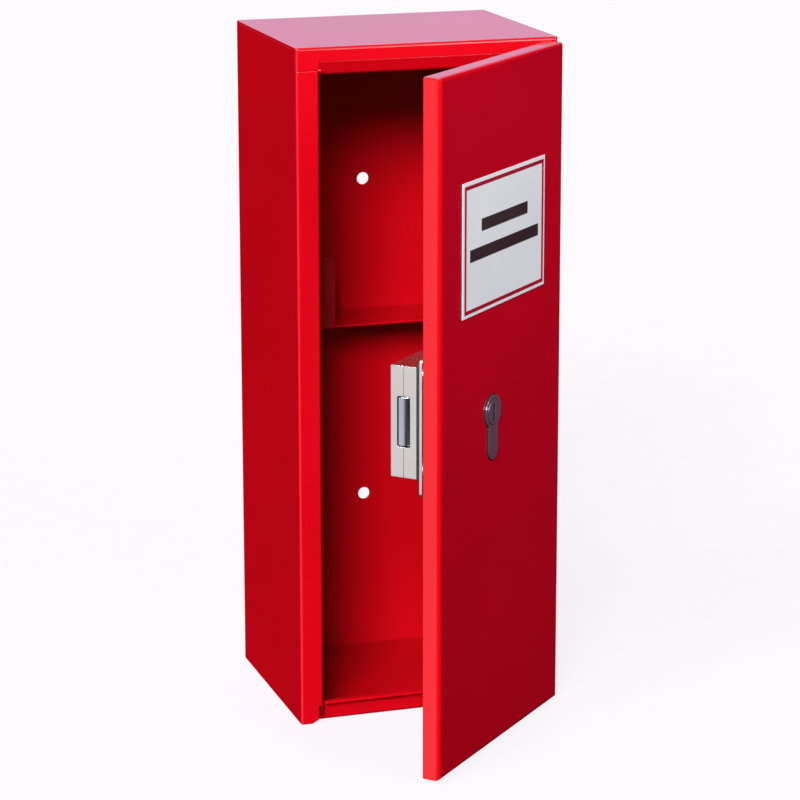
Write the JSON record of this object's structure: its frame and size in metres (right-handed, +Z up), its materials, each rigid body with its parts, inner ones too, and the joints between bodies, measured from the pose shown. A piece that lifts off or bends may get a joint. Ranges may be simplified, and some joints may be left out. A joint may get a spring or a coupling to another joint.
{
  "type": "standpipe cabinet",
  "caption": "Small red wall cabinet of folded sheet steel with a narrow inner shelf, an overlay door hung on pins, a sign plate and a profile-cylinder box lock with a sliding bolt.",
  "frame": {"origin": "midpoint between the two wall holes, on the back face that lies on the wall", "axes": "+X to the right seen from the front, +Y into the wall, +Z up; the door stands 44.6 degrees open"},
  "size_m": [0.1371, 0.2128, 0.35],
  "materials": {
    "body_paint": "gloss powder coat, signal red",
    "door_paint": "gloss powder coat, signal red",
    "zinc_steel": "bright zinc plate",
    "lock_grey": "satin light grey",
    "bolt_steel": "ground steel",
    "nickel": "matt nickel, dark",
    "spacer_black": "matt black",
    "sign_white": "satin white plate",
    "sign_red": "printed dark red",
    "sign_ink": "printed black"
  },
  "bodies": {
    "cabinet": {"body_wrap": "body_paint", "top_panel": "body_paint", "header_strip": "body_paint", "bottom_panel": "body_paint", "shelf": "body_paint", "strike_plate": "zinc_steel", "hinge_lug_top": "body_paint", "hinge_lug_bottom": "body_paint"},
    "door": {"door_pan": "door_paint", "hinge_pin_top": "zinc_steel", "hinge_pin_bottom": "zinc_steel", "sign_plate": "sign_white", "sign_border": "sign_red", "sign_bar_upper": "sign_ink", "sign_bar_lower": "sign_ink", "lock_plate": "zinc_steel", "lock_spacer": "spacer_black", "lock_case": "lock_grey", "lock_cover": "lock_grey", "lock_guide_pin": "zinc_steel", "standoffs": "zinc_steel", "lock_screws": "zinc_steel", "cylinder_body": "nickel"},
    "key_plug": {"cylinder_plug": "nickel", "cylinder_cam": "zinc_steel"},
    "bolt": {"lock_bolt": "bolt_steel"}
  },
  "joints": [
    {"name": "door_hinge", "type": "hinge", "parent": "cabinet", "child": "door", "pos_m": [0.0635, -0.1186, 0], "axis": [0, 0, 1], "range_deg": [-44.6, 60.4]},
    {"name": "plug_turn", "type": "hinge", "parent": "door", "child": "key_plug", "pos_m": [0.01297, -0.17489, 0.001], "axis": [0.7022, -0.712, 0], "range_deg": [0, 360]},
    {"name": "bolt_slide", "type": "slide", "parent": "door", "child": "bolt", "axis": [-0.712, -0.7022, 0], "range_m": [0, 0.012]}
  ],
  "couplings": [
    {"joint": "bolt_slide", "follows": "plug_turn", "m_per_rad": 0.0019098}
  ]
}
